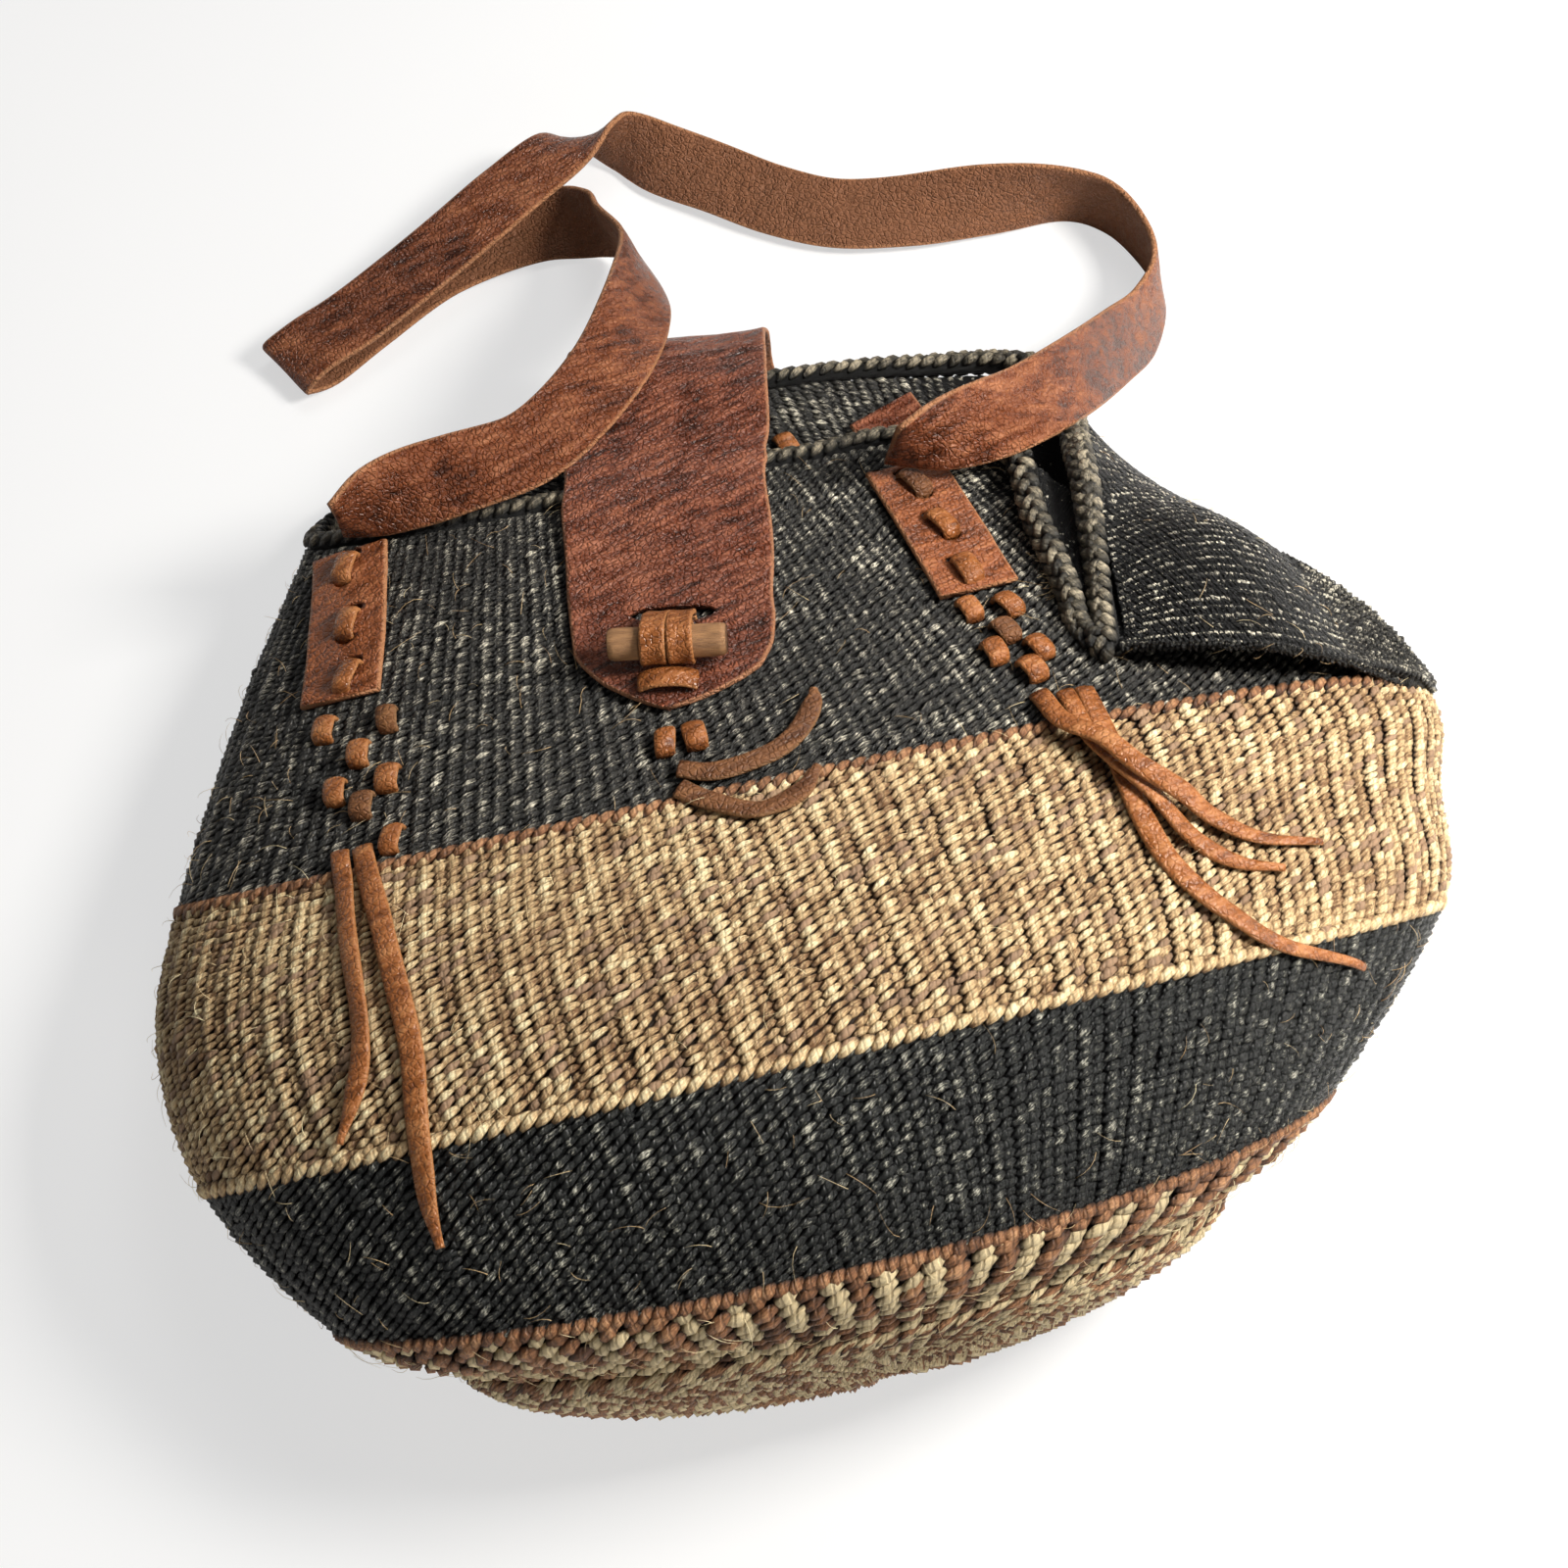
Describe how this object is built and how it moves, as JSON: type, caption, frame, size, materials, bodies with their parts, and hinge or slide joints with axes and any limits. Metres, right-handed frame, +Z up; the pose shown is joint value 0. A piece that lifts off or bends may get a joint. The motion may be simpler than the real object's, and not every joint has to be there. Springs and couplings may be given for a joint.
{
  "type": "woven bucket shoulder bag",
  "caption": "Pot-shaped twined sisal bag lying on its back, with a leather flap, a wooden toggle in a slit and one long leather shoulder strap laced to the front wall.",
  "frame": {"origin": "point of the flat back wall on which the bag lies, under the belly", "axes": "+Z up off the floor through the front wall, +Y from the base to the mouth, +X to the right seen from the front"},
  "size_m": [0.424, 0.5029, 0.113],
  "materials": {
    "sisal_dark": "coarse twined charcoal sisal",
    "sisal_natural": "coarse twined natural sisal",
    "sisal_marl": "coarse twined brown and cream sisal",
    "leather": "waxy pull-up leather",
    "lace": "split leather lace",
    "wood": "bare turned wood"
  },
  "bodies": {
    "bag": {"back_patch": "leather", "base_cup": "sisal_marl", "flap_back": "leather", "flap_lace_left": "lace", "flap_lace_right": "lace", "lower_dark_band": "sisal_dark", "natural_band": "sisal_natural", "rim_braid": "sisal_dark", "strap_tab_left": "leather", "strap_tab_right": "leather", "tab_stitch_left_1": "lace", "tab_stitch_left_2": "lace", "tab_stitch_left_3": "lace", "tab_stitch_right_1": "lace", "tab_stitch_right_2": "lace", "tab_stitch_right_3": "lace", "tail_left_inner": "lace", "tail_left_outer": "lace", "tail_right_long": "lace", "tail_right_thin": "lace", "tail_right_upper": "lace", "toggle_end_lower": "lace", "toggle_end_upper": "lace", "toggle_stitch_1": "lace", "toggle_stitch_2": "lace", "upper_dark_band": "sisal_dark", "wall_stitch_left_1": "lace", "wall_stitch_left_2": "lace", "wall_stitch_left_3": "lace", "wall_stitch_left_4": "lace", "wall_stitch_left_5": "lace", "wall_stitch_left_6": "lace", "wall_stitch_left_7": "lace", "wall_stitch_right_1": "lace", "wall_stitch_right_2": "lace", "wall_stitch_right_3": "lace", "wall_stitch_right_4": "lace", "wall_stitch_right_5": "lace", "wall_stitch_right_6": "lace"},
    "flap": {"flap_front": "leather", "toggle_stem_left": "lace", "toggle_stem_right": "lace"},
    "toggle": {"toggle_dowel": "wood", "toggle_loop_left": "lace", "toggle_loop_right": "lace", "toggle_collar": "lace"},
    "strap": {"shoulder_strap": "leather"}
  },
  "joints": [
    {"name": "flap_lift", "type": "hinge", "parent": "bag", "child": "flap", "pos_m": [0.00514, 0.13542, 0.06122], "axis": [-0.9948, 0.1001, -0.02], "range_deg": [0, 40]},
    {"name": "toggle_turn", "type": "hinge", "parent": "flap", "child": "toggle", "pos_m": [-0.00408, 0.06459, 0.07863], "axis": [-0.0182, 0.243, 0.9699], "range_deg": [-40, 40]},
    {"name": "strap_swing", "type": "hinge", "parent": "bag", "child": "strap", "pos_m": [-0.10215, 0.12718, 0.0522], "axis": [0.9842, -0.1563, 0.0829], "range_deg": [0, 30]}
  ]
}
